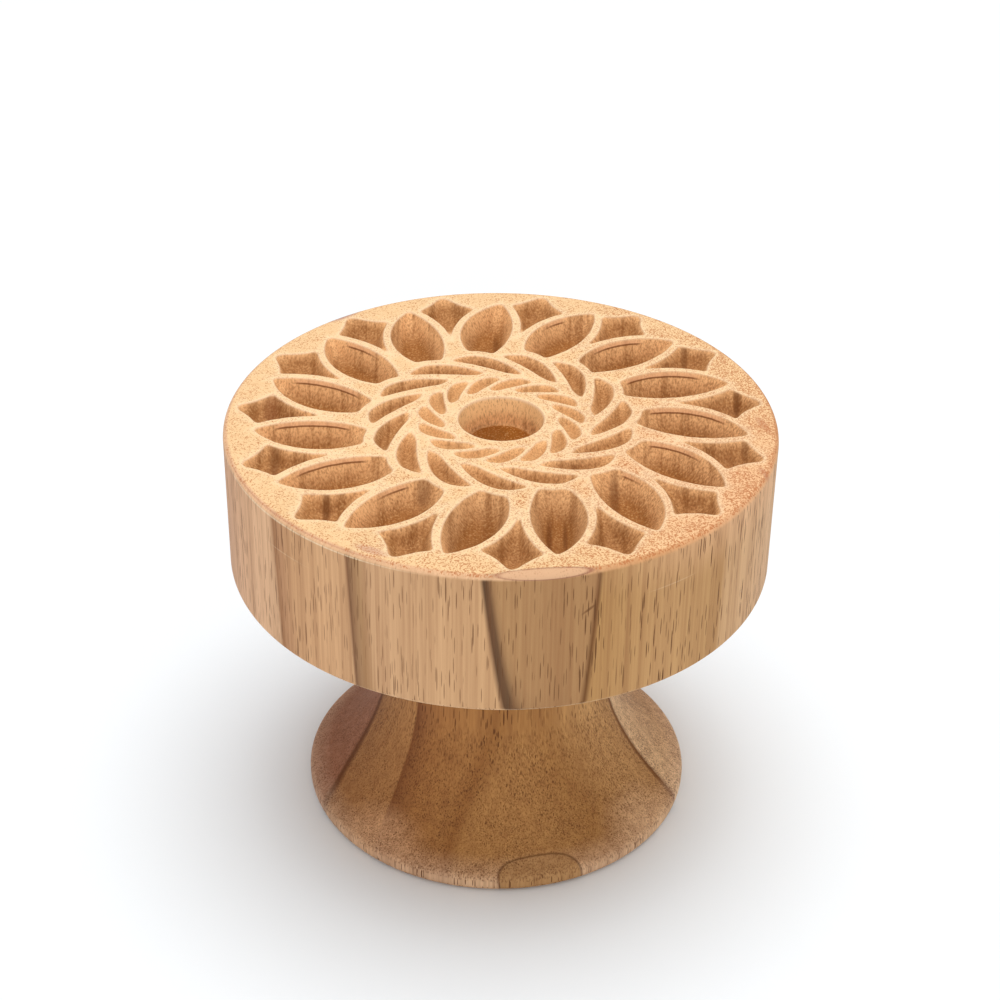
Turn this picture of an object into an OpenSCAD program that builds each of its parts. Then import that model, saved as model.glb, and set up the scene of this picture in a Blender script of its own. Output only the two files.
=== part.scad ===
// Wooden cookie stamp, standing on the end of its handle with the carved face up.
// The origin is the middle of the handle's end face, +Z points to the carved face,
// and the middle of the star nearest +X lies a little anticlockwise of +X.

/* [Head] */
// Diameter of the head
head_d = 70; // [56:0.5:90]
// Thickness of the head, from the glue face to the carved face
head_h = 19.6; // [18:0.1:30]
// Radius of the eased edges of the head
head_edge_r = 0.9; // [0.4:0.1:2]

/* [Rosette] */
// Number of times the motif repeats round the face
repeats = 15; // [12:1:18]
// Width of the plain band between the star points and the side of the head
rim_land = 1.4; // [1:0.1:4]
// Diameter of the round pocket in the middle
eye_d = 10.9; // [6:0.1:13]
// Depth of the round pocket
eye_depth = 3.6; // [1:0.1:4.5]
// Lean of the round pocket's wall, off the vertical
eye_draft = 16; // [5:1:35]
// Width of the plain ring round the middle pocket
eye_land = 1.5; // [0.8:0.1:3]
// Radial height of the ring of inner leaves
inner_leaf_h = 3.85; // [2.5:0.05:5]
// Least width of the land between the two rings of leaves
ring_land = 0.7; // [0.5:0.05:1.5]
// Radial height of the ring of outer leaves
outer_leaf_h = 5.45; // [3.5:0.05:7]
// Width of the scalloped land between the outer leaves and the petals
petal_land = 0.6; // [0.5:0.05:1.5]
// Greatest depth that the petals, stars and leaves are cut to
carve_depth = 3.2; // [1:0.1:4.5]
// Lean of the carved walls off the vertical, half the angle of the pointed cutter
carve_draft = 30; // [20:1:40]

/* [Handle] */
// Length of the handle, from its end face to the glue face
handle_h = 36.9; // [33:0.1:60]
// Diameter of the broad end of the handle
foot_d = 51.8; // [44:0.2:66]
// Height of the rounded rim of the broad end
rim_h = 2.8; // [2.6:0.1:5]
// Radius of the rim's rounded edges
rim_edge_r = 1.2; // [0.4:0.1:1.2]
// Diameter of the waist
waist_d = 29; // [22:0.5:34]
// Diameter of the handle at the glue face
shoulder_d = 36; // [30:0.5:46]
// Radius of the hollow between the rim and the waist
grip_cove_r = 20; // [14:0.5:26]
// Radius of the hollow between the waist and the glue face
neck_cove_r = 16; // [8:0.5:20]

/* [Joint] */
// Diameter of the joining dowel
dowel_d = 12; // [8:0.5:16]
// Length of the joining dowel
dowel_len = 24; // [16:0.5:26]
// Length of the dowel's tapered lead at each end
dowel_lead = 1.2; // [0.5:0.1:2]
// Number of glue flutes along the dowel
dowel_flutes = 12; // [6:1:20]
// Radius of a glue flute
flute_r = 0.4; // [0.2:0.05:0.6]
// Gap for glue between the dowel and the wall of its socket
glue_gap = 0.1; // [0.05:0.05:0.3]
// Gap for glue beyond each end of the dowel
glue_well = 0.5; // [0.2:0.1:1.5]

/* [Hidden] */
$fn = 120;

// How far a cutter starts above the face that it cuts
lead_in = 0.6;
// Share of the outer leaves' height that the petals' inner ends reach into
petal_reach = 1 / 8;
// How far past the arc's tangents the straight outline of a motif is carried
peak_margin = 1.06;

pitch = 360 / repeats;
face_z = handle_h + head_h;
head_r = head_d / 2;
foot_r = foot_d / 2;
waist_r = waist_d / 2;
shoulder_r = shoulder_d / 2;

// Rings that hold the motifs, each from its inner to its outer radius
inner_leaf_ring = [eye_d / 2 + eye_land, eye_d / 2 + eye_land + inner_leaf_h];
outer_leaf_ring = [inner_leaf_ring[1] + ring_land, inner_leaf_ring[1] + ring_land + outer_leaf_h];
petal_ring = [outer_leaf_ring[1] - petal_reach * outer_leaf_h + petal_land, head_r - rim_land];

// Each motif is a list of corners in anticlockwise order. A corner is its turn in pitches,
// its place across the ring from 0 inside to 1 outside, and the bulge of the side to the
// next corner as a share of that side's length, where a hollow side is negative.
petal_corners = [
    [0.762, 0.862, 0.207],
    [1.358, 0.072, -0.083],
    [0.925, 0.000, 0.142],
];
star_corners = [
    [0.340, 1.000, -0.050],
    [0.660, 0.836, -0.065],
    [0.523, 0.300, -0.083],
    [0.062, 0.776, -0.050],
];
outer_leaf_corners = [
    [0.154, 0.018, 0.085],
    [1.112, 0.908, 0.050],
    [1.500, 1.000, 0.030],
    [1.779, 0.881, -0.038],
    [0.554, 0.004, -0.020],
];
inner_leaf_corners = [
    [0.738, 0.842, 0.040],
    [1.028, 0.995, 0.050],
    [1.388, 0.940, 0.085],
    [2.333, 0.132, -0.020],
    [1.946, 0.013, -0.020],
];

// Place of a corner on the face
function corner_place(corner, ring) =
    let (radius = ring[0] + corner[1] * (ring[1] - ring[0]), turn = corner[0] * pitch)
    [radius * cos(turn), radius * sin(turn)];

// Unit vector that points out of the side from one corner to the next
function outward(from, to) =
    let (along = (to - from) / norm(to - from))
    [along[1], -along[0]];

// Radius of the arc with this bulge over this side
function arc_radius(from, to, bulge) =
    norm(to - from) * (1 / 4 + bulge * bulge) / (2 * abs(bulge));

// Middle of that arc
function arc_centre(from, to, bulge) =
    let (reach = arc_radius(from, to, bulge), rise = bulge * norm(to - from))
    (from + to) / 2 + outward(from, to) * (rise - sign(bulge) * reach);

// Point where the tangents at the two ends of a bulging side meet, a little further out
function tangent_peak(from, to, bulge) =
    let (half_angle = 2 * atan(2 * bulge))
    (from + to) / 2 + outward(from, to) * norm(to - from) / 2 * tan(half_angle) * peak_margin;

// Straight-sided outline that holds a motif: its corners, and a peak beyond each bulging side
function outline(places, corners) = [
    for (i = [0 : len(places) - 1])
        let (from = places[i], to = places[(i + 1) % len(places)], bulge = corners[i][2])
        each bulge > 0 ? [from, tangent_peak(from, to, bulge)] : [from]
];

// Cone round one arc, from above the face down into the wood. A bulging side narrows
// with depth and a hollow side widens, so that every wall leans in towards the floor.
module wall_cone(radius, lean) {
    deepest = lean < 0 ? min(carve_depth, radius / tan(carve_draft)) : carve_depth + lead_in;
    slope = lean * tan(carve_draft);
    translate([0, 0, -deepest])
        cylinder(h = deepest + lead_in, r1 = radius + slope * deepest, r2 = radius - slope * lead_in);
}

// The wood that a pointed cutter takes out for one motif, with the face at height 0
module carved_motif(corners, ring) {
    places = [for (corner = corners) corner_place(corner, ring)];
    sides = [
        for (i = [0 : len(corners) - 1])
            [places[i], places[(i + 1) % len(corners)], corners[i][2]]
    ];
    difference() {
        intersection() {
            translate([0, 0, -carve_depth])
                linear_extrude(carve_depth + lead_in)
                    polygon(outline(places, corners));
            within_bulges(sides);
        }
        for (side = sides)
            if (side[2] < 0)
                translate(arc_centre(side[0], side[1], side[2]))
                    wall_cone(arc_radius(side[0], side[1], side[2]), 1);
    }
}

// What the cones of all the bulging sides have in common
module within_bulges(sides) {
    bulging = [for (side = sides) if (side[2] > 0) side];
    if (len(bulging) > 0)
        intersection_for (side = bulging)
            translate(arc_centre(side[0], side[1], side[2]))
                wall_cone(arc_radius(side[0], side[1], side[2]), -1);
    else
        translate([-head_r, -head_r, -carve_depth])
            cube([head_d, head_d, carve_depth + lead_in]);
}

// The whole rosette as the wood taken out of the face, with the face at height 0
module rosette() {
    translate([0, 0, -eye_depth])
        cylinder(
            h = eye_depth + lead_in,
            r1 = eye_d / 2 - eye_depth * tan(eye_draft),
            r2 = eye_d / 2 + lead_in * tan(eye_draft)
        );
    for (i = [0 : repeats - 1])
        rotate(i * pitch) {
            carved_motif(inner_leaf_corners, inner_leaf_ring);
            carved_motif(outer_leaf_corners, outer_leaf_ring);
            carved_motif(petal_corners, petal_ring);
            carved_motif(star_corners, petal_ring);
        }
}

// Half section of a turned disc with rounded edges
module eased_section(radius, height, edge) {
    square([radius - edge, height]);
    translate([0, edge])
        square([radius, height - 2 * edge]);
    for (level = [edge, height - edge])
        translate([radius - edge, level])
            circle(edge);
}

// Blind socket for half of the dowel, drilled from height 0 upwards
module dowel_socket() {
    translate([0, 0, -lead_in])
        cylinder(h = dowel_len / 2 + glue_well + lead_in, d = dowel_d + 2 * glue_gap);
}

module stamp_head() {
    color("#e2b27c")
        difference() {
            translate([0, 0, handle_h])
                rotate_extrude()
                    eased_section(head_r, head_h, head_edge_r);
            translate([0, 0, face_z])
                rosette();
            translate([0, 0, handle_h])
                dowel_socket();
        }
}

// Half section of one flare: a quarter hollow from the waist out to a wider radius, where
// the waist is at height 0 and the wide end is below it
module flare_section(wide_r, cove_r) {
    spread = wide_r - waist_r;
    drop = flare_drop(spread, cove_r);
    difference() {
        translate([0, -drop])
            square([wide_r, drop]);
        translate([waist_r + cove_r, 0])
            circle(cove_r);
    }
}

// Height over which a hollow of this radius spreads this far from the waist
function flare_drop(spread, cove_r) = sqrt(pow(cove_r, 2) - pow(cove_r - spread, 2));

module handle() {
    // The hollow of the grip runs tangent into the rim's upper edge, where their radii line up
    rim_r = foot_r - rim_edge_r;
    spacing = grip_cove_r + rim_edge_r;
    away = waist_r + grip_cove_r - rim_r;
    waist_z = rim_h - rim_edge_r + sqrt(pow(spacing, 2) - pow(away, 2));
    meeting_r = rim_r + rim_edge_r * away / spacing;
    color("#b9824f")
        difference() {
            rotate_extrude() {
                eased_section(foot_r, rim_h, rim_edge_r);
                translate([0, rim_h / 2])
                    square([waist_r, handle_h - rim_h / 2]);
                translate([0, waist_z])
                    flare_section(meeting_r, grip_cove_r);
                translate([0, handle_h - flare_drop(shoulder_r - waist_r, neck_cove_r)])
                    mirror([0, 1])
                        flare_section(shoulder_r, neck_cove_r);
            }
            translate([0, 0, handle_h])
                mirror([0, 0, 1])
                    dowel_socket();
        }
}

module joining_dowel() {
    straight = dowel_len - 2 * dowel_lead;
    lead_d = dowel_d - dowel_lead;
    color("#d8b98c")
        translate([0, 0, handle_h - dowel_len / 2])
            difference() {
                union() {
                    cylinder(h = dowel_lead, d1 = lead_d, d2 = dowel_d);
                    translate([0, 0, dowel_lead])
                        cylinder(h = straight, d = dowel_d);
                    translate([0, 0, dowel_lead + straight])
                        cylinder(h = dowel_lead, d1 = dowel_d, d2 = lead_d);
                }
                for (i = [0 : dowel_flutes - 1])
                    rotate(i * 360 / dowel_flutes)
                        translate([dowel_d / 2, 0, -lead_in])
                            cylinder(h = dowel_len + 2 * lead_in, r = flute_r);
            }
}

stamp_head();
handle();
joining_dowel();
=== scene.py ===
"""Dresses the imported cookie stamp: turned and carved walnut on a pale studio floor.

Lengths inside the classes are millimetres in the CAD frame, with +Z up and the origin in the
middle of the handle's end face. They become metres only where Blender takes them.
"""

import logging
import math
from dataclasses import dataclass
from enum import Enum
from functools import partial
from typing import Any, Callable

import bpy
import numpy as np
from mathutils import Matrix, Vector
from mathutils.geometry import delaunay_2d_cdt


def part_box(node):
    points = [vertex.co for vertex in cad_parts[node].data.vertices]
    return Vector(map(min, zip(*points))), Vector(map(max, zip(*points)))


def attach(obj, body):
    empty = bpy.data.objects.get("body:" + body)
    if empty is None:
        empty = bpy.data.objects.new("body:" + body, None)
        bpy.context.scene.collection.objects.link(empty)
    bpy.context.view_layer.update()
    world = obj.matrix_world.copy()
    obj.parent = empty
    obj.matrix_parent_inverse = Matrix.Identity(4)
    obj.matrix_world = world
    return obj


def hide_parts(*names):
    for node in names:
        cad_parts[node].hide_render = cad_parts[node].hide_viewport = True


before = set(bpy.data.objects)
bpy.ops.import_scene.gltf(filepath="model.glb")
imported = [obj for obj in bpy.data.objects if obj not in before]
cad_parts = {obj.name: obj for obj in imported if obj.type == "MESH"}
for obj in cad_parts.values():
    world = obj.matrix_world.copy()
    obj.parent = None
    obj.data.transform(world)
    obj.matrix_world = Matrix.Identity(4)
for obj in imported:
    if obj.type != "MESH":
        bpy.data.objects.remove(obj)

LOG = logging.getLogger("cookie_stamp")
MM = 0.001
BODY = "root"

Socket = bpy.types.NodeSocket
Tree = bpy.types.NodeTree
Pair = tuple[float, float]
Triple = tuple[float, float, float]
Rings = tuple[tuple[float, str], ...]
Field = Callable[[np.ndarray], np.ndarray]


def linear(hex_colour: str) -> tuple[float, float, float, float]:
    """Turns an sRGB hex colour into a linear one.

    Args:
        hex_colour: Colour such as "#C8A070".

    Returns:
        Linear red, green and blue, and an alpha of 1.
    """
    channels = [int(hex_colour[i : i + 2], 16) / 255 for i in (1, 3, 5)]
    return (*(c / 12.92 if c <= 0.04045 else ((c + 0.055) / 1.055) ** 2.4 for c in channels), 1.0)


def add_node(
    tree: Tree,
    kind: str,
    inputs: dict[int | str, Any] | None = None,
    output: int | str = 0,
    stops: Rings = (),
    **settings: Any,
) -> Socket:
    """Adds a node with its settings, values and links.

    Args:
        tree: Node tree that the node goes into.
        kind: Blender's name for the kind of node, without its prefix.
        inputs: Value or linked socket for each input, by its index or name.
        output: Index or name of the output that is wanted.
        stops: Place between 0 and 1 and hex colour of each stop of a colour ramp.
        settings: Properties of the node.

    Returns:
        The wanted output socket.
    """
    node = tree.nodes.new("ShaderNode" + kind)
    for name, value in settings.items():
        setattr(node, name, value)
    if stops:
        ramp = node.color_ramp.elements
        for at, colour in stops:
            ramp.new(at).color = linear(colour)
        ramp.remove(ramp[0])
        ramp.remove(ramp[len(ramp) - 1])
    for key, value in (inputs or {}).items():
        if isinstance(value, Socket):
            tree.links.new(value, node.inputs[key])
        else:
            node.inputs[key].default_value = value
    return node.outputs[output]


def between(ends: Pair) -> dict[str, float]:
    """Puts the two ends of a range in the words that a range node takes."""
    return {"From Min": ends[0], "From Max": ends[1]}


def new_material(name: str) -> bpy.types.Material:
    """Makes a material with no nodes in it yet.

    Args:
        name: What the material is and how it was made.

    Returns:
        The empty material.
    """
    material = bpy.data.materials.new(name)
    material.use_nodes = True
    material.node_tree.nodes.clear()
    return material


def finish_material(tree: Tree, shader: Socket) -> None:
    """Links a shader to the material's output."""
    output = tree.nodes.new("ShaderNodeOutputMaterial")
    tree.links.new(shader, output.inputs["Surface"])


def smooth_min(
    first: np.ndarray, second: np.ndarray | float, blend: np.ndarray | float
) -> np.ndarray:
    """Takes the smaller of two values, rounded off where they are close.

    Args:
        first: Values.
        second: Values to compare them with.
        blend: Difference below which the result is rounded off.

    Returns:
        The rounded smaller values.
    """
    overlap = np.maximum(blend - np.abs(first - second), 0) / blend
    return np.minimum(first, second) - overlap**2 * blend / 4


def smooth_step(values: np.ndarray, low: float, high: float) -> np.ndarray:
    """Rises smoothly from 0 at low to 1 at high.

    Args:
        values: Values to place between the two.
        low: Value where the step starts.
        high: Value where it ends.

    Returns:
        The height of the step at each value.
    """
    share = np.clip((values - low) / (high - low), 0, 1)
    return share * share * (3 - 2 * share)


def gradient(field: Field, points: np.ndarray, step: float = 0.01) -> np.ndarray:
    """Measures how fast a field rises along X and along Y.

    Args:
        field: Function of places on the face.
        points: Places, one per row.
        step: Distance over which the rise is measured.

    Returns:
        The two rises at each place.
    """
    rises = [field(points + shift) - field(points - shift) for shift in step * np.eye(2)]
    return np.column_stack(rises) / (2 * step)


def circle(count: int) -> np.ndarray:
    """Spaces points evenly round a circle of radius 1."""
    turns = np.linspace(0, math.tau, count, endpoint=False)
    return np.column_stack([np.cos(turns), np.sin(turns)])


def turned(points: np.ndarray, angle: float) -> np.ndarray:
    """Turns points round the middle of the face.

    Args:
        points: Places on the face, one per row.
        angle: Angle in radians.

    Returns:
        The turned places.
    """
    turn = [[math.cos(angle), -math.sin(angle)], [math.sin(angle), math.cos(angle)]]
    return points @ np.array(turn).T


def wall_run(depth: float, draft: float) -> float:
    """Measures how far a leaning wall runs inwards on its way down.

    Args:
        depth: Height of the wall.
        draft: Lean of the wall off the vertical, in degrees.

    Returns:
        The run across the face.
    """
    return depth * math.tan(math.radians(draft))


class Shape(Enum):
    """The carved shapes that repeat round the eye."""

    PETAL = "petal"
    STAR = "star"
    OUTER_LEAF = "outer leaf"
    INNER_LEAF = "inner leaf"


# Corners of each carved shape, counterclockwise: angle in repeats, share of the way across its
# ring, and bulge of the arc to the next corner as a share of its length.
CORNERS: dict[Shape, tuple[Triple, ...]] = {
    Shape.PETAL: ((0.762, 0.862, 0.207), (1.358, 0.072, -0.083), (0.925, 0.000, 0.142)),
    Shape.STAR: (
        (0.316, 1.000, 0.020),
        (0.390, 1.004, -0.050),
        (0.662, 0.836, -0.085),
        (0.523, 0.262, -0.100),
        (0.056, 0.774, -0.075),
    ),
    Shape.OUTER_LEAF: (
        (0.154, 0.018, 0.085),
        (1.112, 0.908, 0.050),
        (1.500, 1.000, 0.030),
        (1.779, 0.881, -0.038),
        (0.554, 0.004, -0.020),
    ),
    Shape.INNER_LEAF: (
        (0.738, 0.842, 0.040),
        (1.028, 0.995, 0.050),
        (1.388, 0.940, 0.085),
        (2.333, 0.132, -0.020),
        (1.946, 0.013, -0.020),
    ),
}


@dataclass(frozen=True)
class ArcSide:
    """One side of a carved outline: an arc between two corners on the face."""

    start: np.ndarray
    end: np.ndarray
    bulge: float

    @property
    def length(self) -> float:
        """Straight distance between the corners."""
        return float(np.linalg.norm(self.end - self.start))

    @property
    def outward(self) -> np.ndarray:
        """Unit vector that points out of the side."""
        along = (self.end - self.start) / self.length
        return np.array([along[1], -along[0]])

    @property
    def radius(self) -> float:
        """Radius of the arc."""
        return self.length * (0.25 + self.bulge**2) / (2 * abs(self.bulge))

    @property
    def centre(self) -> np.ndarray:
        """Middle of the arc."""
        rise = self.bulge * self.length - math.copysign(self.radius, self.bulge)
        return (self.start + self.end) / 2 + self.outward * rise

    def inset(self, points: np.ndarray) -> np.ndarray:
        """Measures how far points lie inside this side.

        Args:
            points: Places on the face, one per row.

        Returns:
            The distances, negative for points outside.
        """
        reach = np.linalg.norm(points - self.centre, axis=1)
        if self.bulge > 0:
            return self.radius - reach
        return np.minimum(reach - self.radius, (self.start - points) @ self.outward)

    def row(self, offset: float, spacing: float) -> np.ndarray:
        """Spaces points along the arc.

        Args:
            offset: Distance of the row inside the side.
            spacing: Distance between its points.

        Returns:
            The points, one per row.
        """
        spokes = [math.atan2(*(corner - self.centre)[::-1]) for corner in (self.start, self.end)]
        sweep = (spokes[1] - spokes[0] + math.pi) % math.tau - math.pi
        count = max(3, math.ceil(self.length / spacing))
        turns = spokes[0] + sweep * np.linspace(0, 1, count)
        reach = self.radius - offset * math.copysign(1, self.bulge)
        return self.centre + reach * np.column_stack([np.cos(turns), np.sin(turns)])


@dataclass(frozen=True)
class Motif:
    """A carved shape of the rosette, whose walls lean in from its outline."""

    ring: Pair
    pitch: float
    corners: tuple[Triple, ...]
    rounding: float
    bowl: float = 1.0

    def sides(self) -> list[ArcSide]:
        """Places the corners on the face and joins them with arcs."""
        places = []
        for turn, across, _ in self.corners:
            radius = self.ring[0] + across * (self.ring[1] - self.ring[0])
            angle = turn * self.pitch
            places.append(radius * np.array([math.cos(angle), math.sin(angle)]))
        following = places[1:] + places[:1]
        return [ArcSide(a, b, corner[2]) for a, b, corner in zip(places, following, self.corners)]

    def inset(self, points: np.ndarray) -> np.ndarray:
        """Measures how far points lie inside the outline.

        The corners are worn round, and more so with depth, so that the walls meet in a bowl.

        Args:
            points: Places on the face, one per row.

        Returns:
            The distances, negative for points outside.
        """
        distance, *others = [side.inset(points) for side in self.sides()]
        for other in others:
            depth = np.maximum(np.minimum(distance, other), 0)
            distance = smooth_min(distance, other, self.rounding + self.bowl * depth)
        return distance


@dataclass(frozen=True)
class Rosette:
    """The carving: a round eye, two rings of leaves, and petals with stars between them.

    Each of the floor fields gives the inset where a pocket starts to darken, the inset where it
    is darkest and how dark it gets there; the darkening stands for torn end grain and is partly
    painted shade. The wobble waves are two pitches and a shift each.
    """

    outer_radius: float
    repeats: int = 15
    eye_radius: float = 5.45
    eye_depth: float = 3.6
    eye_draft: float = 16
    eye_land: float = 1.5
    inner_leaf_height: float = 3.85
    ring_land: float = 0.7
    outer_leaf_height: float = 5.45
    petal_land: float = 0.6
    petal_reach: float = 1 / 8
    carve_depth: float = 3.2
    carve_draft: float = 30
    leaf_rounding: float = 0.45
    petal_rounding: float = 0.5
    lip_wear: float = 0.12
    floor_rounding: float = 1.5
    eye_rounding: float = 0.4
    wobble_height: float = 0.035
    wobble_waves: tuple[Triple, ...] = ((1.9, 1.3, 0), (-1.1, 2.7, 1), (3.9, -2.3, 2))
    tool_line_depth: float = 0.65
    tool_line_step: float = 0.1
    tool_line_edge: float = 0.04
    tool_line_inset: float = 0.1
    tool_line_facing: Pair = (0.55, 0.85)
    tool_line_ends: Pair = (19.3, 28.3)
    tool_line_fade: float = 0.6
    lip_highlight_span: Pair = (-0.5, -0.1)
    cut_span: Pair = (0.0, 0.14)
    petal_floor: Triple = (0.3, 2.1, 0.85)
    leaf_floor: Triple = (0.0, 0.7, 0.62)
    eye_floor: Pair = (0.9, 1.3)
    row_spacing: float = 0.25
    row_slack: float = 0.04
    row_moves: int = 3
    least_rise: float = 0.3
    step_row_gap: float = 0.03
    middle_row: float = 0.6
    floor_row_gap: float = 0.12
    eye_segments: int = 160
    eye_floor_rows: tuple[float, ...] = (-0.1, 0.0, 0.1, 0.4)
    fill_spacing: float = 0.27
    fill_gap: float = 0.45
    land_thinning: int = 9
    rim_gap: float = 0.12
    merge_size: float = 0.05

    @property
    def pitch(self) -> float:
        """Angle between one repeat and the next."""
        return math.tau / self.repeats

    @property
    def step_run(self) -> float:
        """Inset of the cutter's line."""
        return wall_run(self.tool_line_depth, self.carve_draft)

    @property
    def eye_run(self) -> float:
        """Inset of the foot of the eye's wall."""
        return wall_run(self.eye_depth, self.eye_draft)

    def motifs(self) -> dict[Shape, Motif]:
        """Lays the motifs out in their rings."""
        inner_low = self.eye_radius + self.eye_land
        inner_high = inner_low + self.inner_leaf_height
        outer_low = inner_high + self.ring_land
        outer_high = outer_low + self.outer_leaf_height
        petal_low = outer_high - self.petal_reach * self.outer_leaf_height + self.petal_land
        layout = {
            Shape.PETAL: (petal_low, self.outer_radius, self.petal_rounding),
            Shape.STAR: (petal_low, self.outer_radius, self.petal_rounding),
            Shape.OUTER_LEAF: (outer_low, outer_high, self.leaf_rounding),
            Shape.INNER_LEAF: (inner_low, inner_high, self.leaf_rounding),
        }
        return {
            shape: Motif((low, high), self.pitch, CORNERS[shape], rounding)
            for shape, (low, high, rounding) in layout.items()
        }

    def fold(self, points: np.ndarray) -> np.ndarray:
        """Turns points round the middle into the first repeat."""
        angle = np.arctan2(points[:, 1], points[:, 0]) % self.pitch
        radius = np.linalg.norm(points, axis=1)
        return radius[:, None] * np.column_stack([np.cos(angle), np.sin(angle)])

    def motif_inset(self, motif: Motif, points: np.ndarray) -> np.ndarray:
        """Measures how far points lie inside the nearest copy of a motif.

        Args:
            motif: Shape that repeats round the face.
            points: Places on the face, one per row.

        Returns:
            The distances, negative for points outside every copy.
        """
        folded = self.fold(points)
        best = np.full(len(points), -np.inf)
        # A motif swirls over up to three repeats, so the copies on both sides count too.
        for copy in range(-3, 2):
            best = np.maximum(best, motif.inset(turned(folded, -copy * self.pitch)))
        return best

    def carving_inset(self, points: np.ndarray) -> np.ndarray:
        """Measures how far points lie inside any motif."""
        insets = [self.motif_inset(motif, points) for motif in self.motifs().values()]
        return np.max(insets, axis=0)

    def eye_inset(self, points: np.ndarray) -> np.ndarray:
        """Measures how far points lie inside the round eye."""
        return self.eye_radius - np.linalg.norm(points, axis=1)

    def inset(self, points: np.ndarray) -> np.ndarray:
        """Measures how far points lie inside any motif or the eye."""
        return np.maximum(self.carving_inset(points), self.eye_inset(points))

    def wobble(self, points: np.ndarray) -> np.ndarray:
        """Gives the small waviness that a worn cutter leaves along the outlines."""
        waves = [np.sin(points @ np.array(wave[:2]) + wave[2]) for wave in self.wobble_waves]
        return self.wobble_height * np.mean(waves, axis=0)

    def wall(self, inset: np.ndarray, draft: float, floor: float, rounding: float) -> np.ndarray:
        """Follows a leaning wall down from its worn lip to the floor.

        Args:
            inset: Distances inside the outline.
            draft: Lean of the wall off the vertical, in degrees.
            floor: Depth of the floor.
            rounding: Height over which the wall rounds into the floor.

        Returns:
            Depths below the face.
        """
        wear = self.lip_wear
        eased = np.where(inset < wear, np.maximum(inset + wear, 0) ** 2 / (4 * wear), inset)
        return np.maximum(smooth_min(eased / wall_run(1, draft), floor, rounding), 0)

    # The mask also places the painted shade of the line and the painted light of the band above it.
    def tool_line(self, points: np.ndarray) -> np.ndarray:
        """Masks the far walls of the petals, where a first pass of the cutter left a line."""
        petal = partial(self.motif_inset, self.motifs()[Shape.PETAL])
        share = smooth_step(petal(points), 0.0, self.tool_line_inset)
        share = share * smooth_step(-gradient(petal, points)[:, 1], *self.tool_line_facing)
        radius = np.linalg.norm(points, axis=1)
        fade = self.tool_line_fade
        start, stop = [smooth_step(radius, end - fade, end + fade) for end in self.tool_line_ends]
        return share * start * (1 - stop)

    def lip_highlight_share(self, points: np.ndarray) -> np.ndarray:
        """Tells how near points on the lands lie to a lip, from 0 to 1, for the painted highlight
        there.
        """
        return smooth_step(self.inset(points), *self.lip_highlight_span)

    def carved_share(self, points: np.ndarray) -> np.ndarray:
        """Tells how far points lie past the worn lips into the cut wood, from 0 to 1."""
        return smooth_step(self.inset(points), *self.cut_span)

    def floor_grain_and_shade_share(self, points: np.ndarray) -> np.ndarray:
        """Tells how near points lie to the pockets' floors, from 0 to 1, for their grain and painted
        shade.
        """
        low, high = [part * self.eye_run for part in self.eye_floor]
        share = smooth_step(self.eye_inset(points), low, high)
        for shape, motif in self.motifs().items():
            start, full, most = self.petal_floor if shape is Shape.PETAL else self.leaf_floor
            sunk = most * smooth_step(self.motif_inset(motif, points), start, full)
            share = np.maximum(share, sunk)
        return share

    def depth(self, points: np.ndarray) -> np.ndarray:
        """Measures the carving's depth below the face.

        Args:
            points: Places on the face, one per row.

        Returns:
            The depths, 0 on the lands.
        """
        inset = self.carving_inset(points) + self.wobble(points)
        edge = self.tool_line_edge
        past_line = smooth_step(inset, self.step_run - edge, self.step_run + edge)
        carved = self.wall(inset, self.carve_draft, self.carve_depth, self.floor_rounding)
        carved += self.tool_line_step * past_line * self.tool_line(points)
        eye = self.wall(
            self.eye_inset(points), self.eye_draft, self.eye_depth, self.eye_rounding
        )
        return np.maximum(carved, eye)

    def lip_rows(self) -> list[float]:
        """Lists the insets of the rows of points that follow a worn lip."""
        return [self.lip_wear * part for part in (-2, -1, -0.5, 0, 0.5, 1, 2)]

    def motif_rows(self, motif: Motif) -> np.ndarray:
        """Spaces rows of points along the lip, the cutter's line and the floor of a motif.

        Args:
            motif: Shape that the rows follow.

        Returns:
            The points, one per row.
        """
        floor_run = wall_run(self.carve_depth, self.carve_draft)
        offsets = self.lip_rows()
        offsets += [self.step_run - self.step_row_gap, self.step_run + self.step_row_gap]
        offsets += [self.middle_row]
        offsets += [floor_run - self.floor_row_gap, floor_run, floor_run + self.floor_row_gap]
        level = partial(self.motif_inset, motif)
        rows = [
            (side.row(offset, self.row_spacing), offset)
            for side in motif.sides()
            for offset in offsets
        ]
        line = np.vstack([row for row, _ in rows])
        wanted = np.concatenate([np.full(len(row), offset) for row, offset in rows])
        # The rows follow the arcs, so their ends are moved onto the rounded corners.
        for _ in range(self.row_moves):
            rise = gradient(level, line)
            steep = np.maximum((rise**2).sum(axis=1), self.least_rise)
            line = line - ((level(line) - wanted) / steep)[:, None] * rise
        return line[np.abs(level(line) - wanted) < self.row_slack]

    def mesh_points(self, flat_radius: float) -> np.ndarray:
        """Gathers the points that carry the carved face: rows along each lip and a fill between.

        Args:
            flat_radius: Radius of the flat of the face.

        Returns:
            The points, one per row.
        """
        repeat = np.vstack([self.motif_rows(motif) for motif in self.motifs().values()])
        groups = [turned(repeat, copy * self.pitch) for copy in range(self.repeats)]
        offsets = [*self.lip_rows(), self.eye_run / 2]
        offsets += [self.eye_run + gap for gap in self.eye_floor_rows]
        groups += [(self.eye_radius - offset) * circle(self.eye_segments) for offset in offsets]
        groups.append(self.fill(flat_radius))
        points = np.vstack(groups)
        points = points[np.linalg.norm(points, axis=1) < flat_radius - self.rim_gap]
        # Rows of neighbouring sides cross at the corners, so points that nearly meet are thinned.
        _, kept = np.unique(np.round(points / self.merge_size), axis=0, return_index=True)
        return points[np.sort(kept)]

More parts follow.
